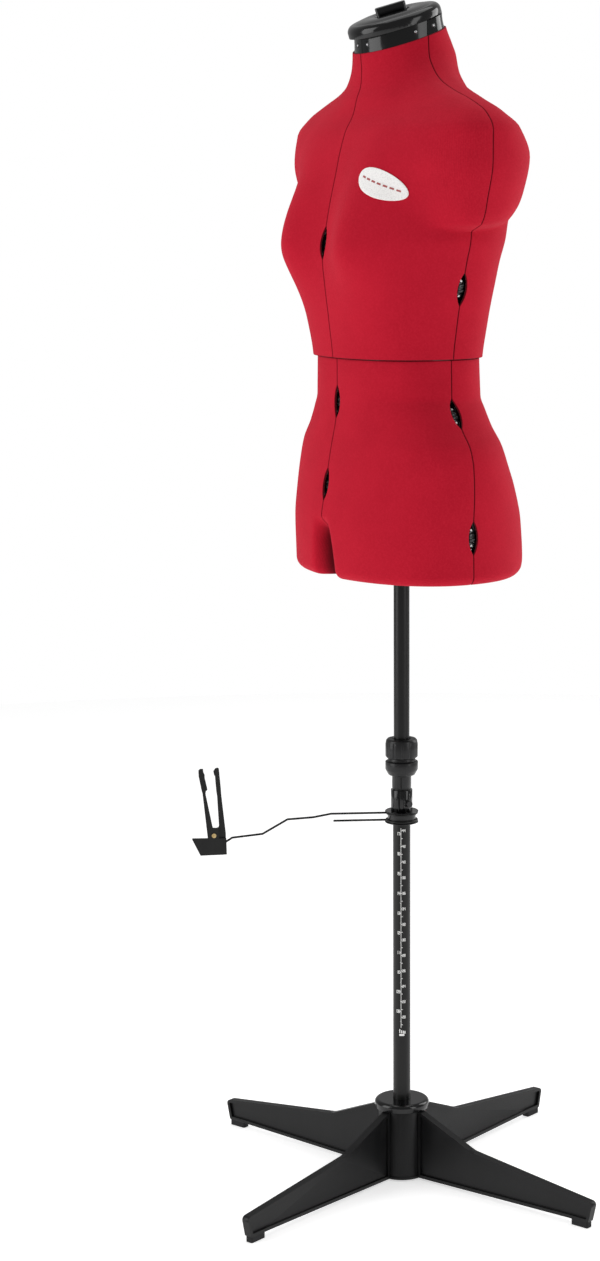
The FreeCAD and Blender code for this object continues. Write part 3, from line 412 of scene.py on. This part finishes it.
def join(parts):
    """One (points, faces) from several."""
    points, faces, start = [], [], 0
    for p, f in parts:
        points.extend(p)
        faces.extend([[i + start for i in face] for face in f])
        start += len(p)
    return points, faces


def lathe(profile, segments=48, closed=False):
    """Points and faces turned about Z from (radius, height) pairs."""
    points, faces = [], []
    for r, z in profile:
        for i in range(segments):
            a = 2 * math.pi * i / segments
            points.append(Vector((r * math.cos(a), r * math.sin(a), z)))
    rings = len(profile)
    last = rings if closed else rings - 1
    for k in range(last):
        for i in range(segments):
            j = (i + 1) % segments
            k2 = (k + 1) % rings
            faces.append([k * segments + i, k * segments + j, k2 * segments + j, k2 * segments + i])
    if not closed:
        faces.append([i for i in range(segments)][::-1])
        faces.append([(rings - 1) * segments + i for i in range(segments)])
    return points, faces


def moved(part, matrix):
    return [matrix @ Vector(p) for p in part[0]], part[1]


def turn_z(degrees):
    return Matrix.Rotation(math.radians(degrees), 4, "Z")


def tidy(piece, smooth_angle=None):
    """Outward normals, and flat shading kept across sharp edges."""
    made = bmesh.new()
    made.from_mesh(piece.data)
    bmesh.ops.recalc_face_normals(made, faces=made.faces)
    made.to_mesh(piece.data)
    made.free()
    if smooth_angle:
        piece.data.set_sharp_from_angle(angle=math.radians(smooth_angle))
    return piece


# ---------------------------------------------------------------- fabric covers

def window_width(level, direction, z):
    """Half width of a seam's opening at heights z, beside the seam's own gap."""
    normal_r = wheel_seat(direction, level)[2]
    t = (z - WHEEL_HEIGHTS[level][direction]) / normal_r
    tip, side = WINDOW_HALF_HEIGHT, WINDOW_HALF_WIDTH
    radius = (tip * tip + side * side) / (2 * side)
    wide = np.sqrt(np.maximum(radius ** 2 - t * t, 0.0)) - (radius - side)
    return np.where(np.abs(t) < tip, np.maximum(wide, COVER_GAP / 2), COVER_GAP / 2)


WINDOW_ROWS = (3.5, 7.0, 10.5, 13.5, 16.0, 18.0, 19.4, 20.6, 22.0)


def merged_heights(base, windows):
    """Base heights with closer rows through each window."""
    clear = WINDOW_ROWS[-1] + 1.0
    rows = [z for z in base if not any(abs(z - WHEEL_HEIGHTS[lv][d]) < clear for lv, d in windows)]
    for lv, d in windows:
        centre = WHEEL_HEIGHTS[lv][d]
        rows += [centre - t for t in WINDOW_ROWS] + [centre] + [centre + t for t in WINDOW_ROWS]
    rows = sorted(set(round(z, 3) for z in rows))
    kept = [rows[0]]
    for z in rows[1:]:
        if z - kept[-1] > 0.5:
            kept.append(z)
    return kept


EDGE_STEPS = [0.0, 0.12, 0.35, 0.7, 1.1, 1.8, 3.2, 6.0]
EDGE_ROUND = 1.1
BODY_COLUMNS = 52
FAR = 99.0                      # no edge near


def edge_drop(d):
    """How far the surface falls at distance d from a rolled edge."""
    inside = np.clip(EDGE_ROUND - d, 0.0, EDGE_ROUND)
    return EDGE_ROUND - np.sqrt(EDGE_ROUND ** 2 - inside ** 2)


def cover(name, outline, face, side, windows, rows, neck_top, body):
    """One quarter's fabric. rows are (height, inset, distance from the nearer free edge)."""
    place = placer(outline, face, neck_top)
    z, inset, free = (np.array([row[k] for row in rows], float) for k in range(3))
    centre_name, side_name = ("front" if face < 0 else "back"), ("left" if side > 0 else "right")
    side_width = np.full(len(z), COVER_GAP / 2)
    centre_width = side_width.copy()
    for level, direction in windows:
        wide = window_width(level, direction, z)
        if direction == side_name:
            side_width = np.maximum(side_width, wide)
        if direction == centre_name:
            centre_width = np.maximum(centre_width, wide)

    def find(target, axis):
        """Angle at which a row is the target distance from its seam."""
        low, high = np.zeros(len(z)), np.full(len(z), math.pi / 2)
        for _ in range(34):
            mid = (low + high) / 2
            value = place(mid, z, inset)[:, axis]
            nearer = value < target if axis == 1 else value > target
            low, high = np.where(nearer, mid, low), np.where(nearer, high, mid)
        return (low + high) / 2

    angles, drops = [], []
    for step in EDGE_STEPS:
        angles.append(find(side_width - COVER_GAP / 2 + step, 1))
        drops.append(np.full(len(z), step))
    last = find(centre_width - COVER_GAP / 2 + EDGE_STEPS[-1], 0)
    first = angles[-1]
    for k in range(1, BODY_COLUMNS):
        angles.append(last + (first - last) * (1 - k / BODY_COLUMNS) ** 1.5)
        drops.append(np.full(len(z), FAR))
    for step in reversed(EDGE_STEPS):
        angles.append(find(centre_width - COVER_GAP / 2 + step, 0))
        drops.append(np.full(len(z), step))
    angle, from_seam = np.array(angles), np.array(drops)
    count, height = angle.shape
    zz, ii = np.broadcast_to(z, angle.shape), np.broadcast_to(inset, angle.shape)
    base = place(angle, zz, ii)
    small = 2e-4
    lo, hi = np.clip(angle - small, 0, math.pi / 2), np.clip(angle + small, 0, math.pi / 2)
    along = place(hi, zz, ii) - place(lo, zz, ii)
    z_next = np.interp(np.arange(height) + 0.02, np.arange(height), z)
    z_back = np.interp(np.arange(height) - 0.02, np.arange(height), z)
    i_next = np.interp(np.arange(height) + 0.02, np.arange(height), inset)
    i_back = np.interp(np.arange(height) - 0.02, np.arange(height), inset)
    up = (place(angle, np.broadcast_to(z_next, angle.shape), np.broadcast_to(i_next, angle.shape))
          - place(angle, np.broadcast_to(z_back, angle.shape), np.broadcast_to(i_back, angle.shape)))
    normal = np.cross(along, up)
    normal /= np.linalg.norm(normal, axis=-1, keepdims=True)
    edge = np.minimum(from_seam, np.broadcast_to(free, angle.shape))
    depth = np.maximum(edge_drop(from_seam), edge_drop(np.broadcast_to(free, angle.shape)))
    outer = base - normal * depth[..., None]
    inner = base - normal * COVER
    shift = np.array([COVER_GAP / 2, COVER_GAP / 2, 0.0])
    flip = np.array([side, face, 1.0])
    points = np.concatenate([((layer + shift) * flip).reshape(-1, 3) for layer in (outer, inner)])
    total = count * height

    def at(i, j, layer=0):
        return layer * total + i * height + j

    faces, lining = [], []
    for i in range(count - 1):
        for j in range(height - 1):
            faces.append((at(i, j), at(i + 1, j), at(i + 1, j + 1), at(i, j + 1)))
            lining.append((at(i, j, 1), at(i, j + 1, 1), at(i + 1, j + 1, 1), at(i + 1, j, 1)))
    for i in range(count - 1):
        for j in (0, height - 1):
            lining.append((at(i, j), at(i, j, 1), at(i + 1, j, 1), at(i + 1, j)))
    for j in range(height - 1):
        for i in (0, count - 1):
            lining.append((at(i, j), at(i, j + 1), at(i, j + 1, 1), at(i, j, 1)))
    piece = new_piece(name, points, faces + lining, KNIT, body, "red_knit", more=(LINING,))
    mesh = piece.data
    which = np.zeros(len(mesh.polygons), np.int32)
    which[len(faces):] = 1
    mesh.polygons.foreach_set("material_index", which)
    # darker along the seam and free edges, plus painted shade in the deep cleft between the thighs, for the
    # knit to read
    seam_and_cleft_shade = np.exp(-(edge / 0.6) ** 2)
    if outline is lower_outline:
        seam_and_cleft_shade = np.maximum(seam_and_cleft_shade, ramp((cleft(face, base[..., 0], zz) - 6.0) / 17.0))
    values = np.concatenate([seam_and_cleft_shade.ravel(), np.ones(total)]).astype(np.float32)
    attribute = mesh.attributes.new("seam_and_cleft_shade", "FLOAT", "POINT")
    attribute.data.foreach_set("value", values)
    tidy(piece, 50)
    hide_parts(name.replace("fabric", "cover"))
    return piece


def upper_rows():
    windows = [("bust", d) for d in SIDES]
    start, stop = WAIST, NECK_COVER_TOP
    base = [start + s for s in EDGE_STEPS] + list(np.arange(start + 10, 1172, 6.5))
    base += list(np.arange(1172.0, 1216, 2.0)) + list(np.arange(1216, 1310, 6.0))
    base += list(np.arange(1310, 1385, 3.5)) + list(np.arange(1385, stop - 6, 5.0))
    base += [stop - s for s in EDGE_STEPS]
    heights = merged_heights(base, windows)
    heights = sorted(set(heights) | {start + s for s in EDGE_STEPS[:5]} | {stop - s for s in EDGE_STEPS[:5]})
    return windows, [(z, 0.0, min(z - start, stop - z)) for z in heights]


def lower_rows():
    windows = [(lv, d) for lv in ("waist", "hip") for d in SIDES]
    rows = []
    for deg in (78.0, 72.0, 65.0, 57.0, 49.0, 41.0, 33.0, 25.0, 17.0, 9.0):
        a = math.radians(deg)
        rows.append((HEM + LIP_RADIUS * (1 - math.sin(a)), LIP_RADIUS * (1 - math.cos(a)),
                     math.radians(78.0 - deg) * LIP_RADIUS))
    base = list(np.arange(HEM + LIP_RADIUS, 856.0, 3.6)) + list(np.arange(860.0, 1020.0, 5.5))
    base += [COVER_TOP_LOWER - s for s in EDGE_STEPS]
    heights = merged_heights(base, windows)
    heights = sorted(set(heights) | {COVER_TOP_LOWER - s for s in EDGE_STEPS[:5]})
    return windows, rows + [(z, 0.0, min(FAR, COVER_TOP_LOWER - z)) for z in heights]


for part, outline, (windows, rows), neck in (
        ("upper", upper_outline, upper_rows(), NECK_COVER_TOP),
        ("lower", lower_outline, lower_rows(), None)):
    for face, face_name in ((-1, "front"), (1, "back")):
        for side, side_name in ((1, "left"), (-1, "right")):
            end = "_".join((part, face_name, side_name))
            cover("fabric_" + end, outline, face, side, windows, rows, neck, "panel_" + end)


# ---------------------------------------------------------------- CAD nodes: finish and softened edges

BEVELS = {"stand_black": 0.0007, "gloss_black": 0.0004, "wheel_black": 0.0003, "marker_plate": 0.00025,
          "rubber_pad": 0.0, "pole_black": 0.0, "inner_plastic": 0.0004}
slots = {s["node"]: s["material_slot"] for s in frame["record"]["subparts"]}
for name, node in frame["nodes"].items():
    finish = SLOT_FINISH[slots[name]]
    if name in ("clamp_nut", "clamp_body"):
        finish = GRIP
    node.data.materials.clear()
    node.data.materials.append(finish)
    bevel = BEVELS.get(slots[name], 0.0)
    if name.startswith("shell_"):
        bevel = 0.0
    if bevel:
        weld = node.modifiers.new("weld", "WELD")
        weld.merge_threshold = 0.00001
        soften = node.modifiers.new("soften", "BEVEL")
        soften.width = bevel
        soften.segments = 2
        soften.limit_method = "ANGLE"
        soften.angle_limit = math.radians(34)
        soften.use_clamp_overlap = True
        soften.harden_normals = True


# ---------------------------------------------------------------- wheels' white dots

def disc(radius, thick, segments=14):
    return lathe([(radius * 0.1, thick), (radius * 0.75, thick), (radius, thick * 0.55), (radius, 0.0),
                  (radius * 0.1, 0.0)], segments)


for level, found in WHEEL_HEIGHTS.items():
    for direction in found:
        hub = wheel_frame(direction, level)
        dots = []
        for k in range(6):
            a = math.radians(60 * k + 30)
            out = Vector((0, math.cos(a), math.sin(a)))
            m = out.to_track_quat("Z", "Y").to_matrix().to_4x4()
            m.translation = out * (WHEEL_RADIUS - 0.15)
            dots.append(moved(disc(1.45, 0.40), hub @ m))
        piece = new_piece("_".join(("dots", direction, level)), *join(dots), DOT,
                          "wheel_%s_%s" % (direction, level), "wheel_black")
        tidy(piece, 40)


# ---------------------------------------------------------------- oval badge on the chest

HALF_SEAM = np.array([SEAM_GAP / 2, SEAM_GAP / 2, 0.0])


def surface_frame(face, side, x, z):
    """Matrix at the point of the upper torso at x across and height z: Z outward, X level."""
    low, high = 0.0, math.pi / 2
    place = placer(upper_outline, face, NECK_COVER_TOP)
    for _ in range(40):
        mid = (low + high) / 2
        p = place(np.array(mid), np.array(z), 0.0)
        low, high = (mid, high) if p[0] > abs(x) else (low, mid)
    a = np.array((low + high) / 2)
    p = place(a, np.array(z), 0.0)
    du = place(a + 1e-3, np.array(z), 0.0) - p
    dv = place(a, np.array(z + 0.1), 0.0) - p
    n = np.cross(du, dv)
    flip = np.array([side, face, 1.0])
    n = Vector(n / np.linalg.norm(n) * flip).normalized()
    level_way = Vector((0, 0, 1)).cross(n).normalized()
    m = Matrix((level_way, n.cross(level_way), n)).transposed().to_4x4()
    m.translation = Vector((p + HALF_SEAM) * flip)
    return m


def on_torso(u, v, at, lift):
    """Point of the chest's surface beside a surface frame, lifted off it."""
    x, _, z = at @ Vector((u, v, 0))
    low, high = 0.0, math.pi / 2
    for _ in range(34):
        mid = (low + high) / 2
        across = upper_outline(-1, np.array(mid), np.array(z))[0]
        low, high = (mid, high) if across > abs(x) - SEAM_GAP / 2 else (low, mid)
    depth = upper_outline(-1, np.array((low + high) / 2), np.array(z))[1]
    n = at.to_3x3() @ Vector((0, 0, 1))
    return Vector((x, -(float(depth) + SEAM_GAP / 2), z)) + n * lift


def badge(centre_x, centre_z, half_long, half_short, tilt):
    at = surface_frame(-1, 1, centre_x, centre_z) @ turn_z(tilt)
    segments, thick = 72, 1.15
    points, faces = [on_torso(0, 0, at, thick)], []
    profile = [(k / 6, thick) for k in range(1, 6)] + [(0.975, 1.1), (1.0, 0.75), (1.0, -0.8)]
    for share, lift in profile:
        for i in range(segments):
            a = 2 * math.pi * i / segments
            u, v = half_long * share * math.cos(a), half_short * share * math.sin(a)
            points.append(on_torso(u, v, at, lift))
    for i in range(segments):
        faces.append([0, 1 + i, 1 + (i + 1) % segments])
    for k in range(len(profile) - 1):
        for i in range(segments):
            j = (i + 1) % segments
            faces.append([1 + k * segments + i, 1 + (k + 1) * segments + i, 1 + (k + 1) * segments + j,
                          1 + k * segments + j])
    faces.append([1 + (len(profile) - 1) * segments + i for i in range(segments)])
    tidy(new_piece("badge", points, faces, ENAMEL, "panel_upper_front_left", "red_knit"), 40)
    box = [[0, 1, 2, 3], [7, 6, 5, 4], [0, 4, 5, 1], [1, 5, 6, 2], [2, 6, 7, 3], [3, 7, 4, 0]]
    marks = []
    for k in range(-3, 4):
        middle = k * half_long * 0.23
        mark = []
        for lift in (thick + 0.17, thick - 0.25):
            for u, v in ((-2.6, -1.1), (2.6, -1.1), (2.6, 1.1), (-2.6, 1.1)):
                mark.append(on_torso(middle + u, v, at, lift))
        marks.append((mark, box))
    body = "panel_upper_front_left"
    stitches = new_piece("badge_stitch_mark", *join(marks), MARK, body, "red_knit", smooth=False)
    tidy(stitches)


badge(94.0, 1239.0, 35.0, 16.5, -20.0)


# ---------------------------------------------------------------- printed scale on the lower pole

POLE_RADIUS = 10.9
SCALE_ANGLE = -37.0


def on_pole(w, z, lift):
    a = math.radians(SCALE_ANGLE) + w / POLE_RADIUS
    r = POLE_RADIUS + lift
    return Vector((r * math.cos(a), r * math.sin(a), z))


def pole_patch(w0, w1, z0, z1, lift=0.06):
    """Thin raised bar of print that follows the tube."""
    steps = max(1, int(abs(w1 - w0) / 0.8))
    points, faces = [], []
    for layer in (lift, -0.05):
        for k in range(steps + 1):
            w = w0 + (w1 - w0) * k / steps
            points += [on_pole(w, z0, layer), on_pole(w, z1, layer)]
    n = 2 * (steps + 1)
    for k in range(steps):
        a = 2 * k
        faces.append([a, a + 2, a + 3, a + 1])
        faces.append([n + a, n + a + 1, n + a + 3, n + a + 2])
        faces.append([a, n + a, n + a + 2, a + 2])
        faces.append([a + 1, a + 3, n + a + 3, n + a + 1])
    faces.append([0, 1, n + 1, n])
    faces.append([n - 2, 2 * n - 2, 2 * n - 1, n - 1])
    return points, faces


STROKES = {  # segments of each figure, on a grid one wide and two high
    "0": "abcdef", "1": "bc", "2": "abged", "3": "abgcd", "4": "fgbc", "5": "afgcd", "6": "afgedc",
    "7": "abc", "8": "abcdefg", "9": "abcdfg",
}
SEGMENTS = {"a": (0, 2, 1, 2), "b": (1, 1, 1, 2), "c": (1, 0, 1, 1), "d": (0, 0, 1, 0), "e": (0, 0, 0, 1),
            "f": (0, 1, 0, 2), "g": (0, 1, 1, 1)}


def figures(text, w, z, size, stroke=0.34):
    """Numerals drawn from short bars, left edge at w and centred on height z."""
    parts = []
    for k, digit in enumerate(text):
        left = w + k * size * 0.95
        for key in STROKES[digit]:
            x0, y0, x1, y1 = SEGMENTS[key]
            a, b = sorted((left + x0 * size * 0.6, left + x1 * size * 0.6))
            c, d = sorted((z + (y0 - 1) * size * 0.62, z + (y1 - 1) * size * 0.62))
            parts.append(pole_patch(a - stroke / 2, b + stroke / 2, c - stroke / 2, d + stroke / 2))
    return parts


def scale_print():
    """Centre line with inches on its left, every two centimetres on its right, and a small frame below."""
    top, bottom = 452.0, 187.0
    first_inch, inch, first_mark, step = 444.9, 25.4, 448.8, 20.0
    parts = [pole_patch(-0.28, 0.28, bottom + 8.0, top)]
    for k in range(10):
        z = first_inch - inch * k
        half = z - inch / 2
        parts.append(pole_patch(-1.5, -0.2, z - 0.35, z + 0.35))
        parts += figures(str(17 - k).rjust(2, "0"), -5.6, z, 2.7, 0.62)
        parts.append(pole_patch(-1.0, -0.2, half - 0.25, half + 0.25))
    for k in range(14):
        z = first_mark - step * k
        parts.append(pole_patch(0.2, 1.5, z - 0.35, z + 0.35))
        parts += figures(str(44 - 2 * k), 1.9, z, 2.3, 0.60)
        if k < 13:
            parts.append(pole_patch(0.2, 2.2, z - step / 2 - 0.32, z - step / 2 + 0.32))
    parts.append(pole_patch(-2.2, 4.2, bottom - 2.8, bottom - 0.2))
    for left, right, low, high in ((-2.2, -1.0, 1.0, 6.0), (0.2, 1.4, 0.6, 4.6), (2.4, 3.4, 0.6, 4.2)):
        parts.append(pole_patch(left, right, bottom + low, bottom + high))
    return join(parts)


piece = new_piece("height_scale", *scale_print(), WHITE, "base", "pole_black", smooth=False)
tidy(piece)


# ---------------------------------------------------------------- neck: screws in the black band

def neck_screw(name, face, side, degrees):
    """Domed screw head in its countersink, on the bare band of the neck shell."""
    place = placer(upper_outline, face, NECK_SHELL_TOP)
    a, z = np.array(math.radians(degrees)), np.array(1419.5)
    p = place(a, z, 0.0)
    n = np.cross(place(a + 1e-3, z, 0.0) - p, place(a, z + 0.1, 0.0) - p)
    flip = np.array([side, face, 1.0])
    n = Vector(n / np.linalg.norm(n) * flip).normalized()
    at = n.to_track_quat("Z", "Y").to_matrix().to_4x4()
    at.translation = Vector((p + HALF_SEAM) * flip) - n * (COVER + 0.1)
    cup = lathe([(1.7, 0.25), (2.6, 0.35), (3.0, 0.15), (3.0, -0.4), (1.7, -0.4)], 28, closed=True)
    dome = lathe([(0.15, 1.0), (0.9, 0.9), (1.5, 0.55), (1.75, 0.1), (1.75, -0.4), (0.15, -0.4)], 28)
    body = "panel_upper_%s_%s" % ("front" if face < 0 else "back", "left" if side > 0 else "right")
    tidy(new_piece(name + "_cup", *moved(cup, at), GLOSS, body, "gloss_black"), 40)
    tidy(new_piece(name, *moved(dome, at), ZINC, body, "zinc"), 40)


for k, (face, side, degrees) in enumerate((
        (-1, 1, 79.0), (-1, 1, 15.0), (1, 1, 9.0), (1, 1, 76.0),
        (-1, -1, 79.0), (-1, -1, 15.0), (1, -1, 9.0), (1, -1, 76.0))):
    neck_screw("neck_screw_%d" % (k + 1), face, side, degrees)


# ---------------------------------------------------------------- floor, light and camera

def floor():
    mesh = bpy.data.meshes.new("floor")
    made = bmesh.new()
    bmesh.ops.create_circle(made, cap_ends=True, segments=128, radius=3.3)
    made.to_mesh(mesh)
    made.free()
    f = Finish("floor_white")
    grain = f.noise(3.0, 2.0)
    f.shader.inputs["Emission Color"].default_value = (1, 1, 1, 1)
    f.shader.inputs["Emission Strength"].default_value = 0.54
    mesh.materials.append(f.done(f.mix(grain, (0.86, 0.86, 0.86, 1), (0.88, 0.88, 0.88, 1)), 0.9))
    piece = bpy.data.objects.new("floor", mesh)
    bpy.context.scene.collection.objects.link(piece)
    piece.location.z = -0.0006


floor()


def area_light(name, spot, target, size, power):
    """Soft rectangular light at a spot, turned to its target."""
    light = bpy.data.lights.new(name, "AREA")
    light.shape = "RECTANGLE"
    light.size, light.size_y = size
    light.energy = power
    made = bpy.data.objects.new(name, light)
    made.location = spot
    made.rotation_euler = (Vector(target) - Vector(spot)).to_track_quat("-Z", "Y").to_euler()
    bpy.context.scene.collection.objects.link(made)


# the camera's direction round the pole and downward tilt, then its place in metres
THETA, PITCH = math.radians(57.6), math.radians(9.3)
DISTANCE, HEIGHT, ASIDE = 3.170, 1.218, 0.010
SENSOR, LENS, SHIFT = 36.0, 74.598, -0.087
RIGHT = Vector((math.cos(THETA), math.sin(THETA), 0))
AWAY = Vector((-math.sin(THETA), math.cos(THETA), 0))
aim = Vector((0, 0, 0.95))
area_light("left", aim - RIGHT * 2.5 - AWAY * 0.8 + Vector((0, 0, 0.5)), aim, (1.6, 2.6), 41)
area_light("right", aim + RIGHT * 2.2 - AWAY * 1.7 + Vector((0, 0, 0.5)), aim, (1.0, 2.4), 22)
area_light("rim", aim + RIGHT * 2.3 + AWAY * 1.4 + Vector((0, 0, 0.8)), aim, (1.4, 2.2), 30)
area_light("top", aim + AWAY * 0.3 + Vector((0, 0, 2.4)), aim, (2.2, 2.2), 22)

world = bpy.data.worlds.new("studio")
world.use_nodes = True
tree = world.node_tree
air = tree.nodes["Background"]
seen = tree.nodes.new("ShaderNodeLightPath").outputs["Is Camera Ray"]
level = tree.nodes.new("ShaderNodeMapRange")
level.inputs["To Min"].default_value, level.inputs["To Max"].default_value = 0.36, 1.0
tree.links.new(seen, level.inputs["Value"])
tree.links.new(level.outputs["Result"], air.inputs[1])
air.inputs[0].default_value = (1, 1, 1, 1)
bpy.context.scene.view_settings.view_transform = "Standard"
bpy.context.scene.world = world

camera = bpy.data.cameras.new("camera")
camera.sensor_width = SENSOR
camera.lens = LENS
camera.shift_x = SHIFT
camera.clip_start = 0.05
eye = bpy.data.objects.new("camera", camera)
forward = AWAY * math.cos(PITCH) - Vector((0, 0, math.sin(PITCH)))
upward = AWAY * math.sin(PITCH) + Vector((0, 0, math.cos(PITCH)))
stand = Matrix((RIGHT, upward, -forward)).transposed().to_4x4()
stand.translation = RIGHT * ASIDE - AWAY * DISTANCE + Vector((0, 0, HEIGHT))
eye.matrix_world = stand
bpy.context.scene.collection.objects.link(eye)
bpy.context.scene.camera = eye

bpy.context.view_layer.update()
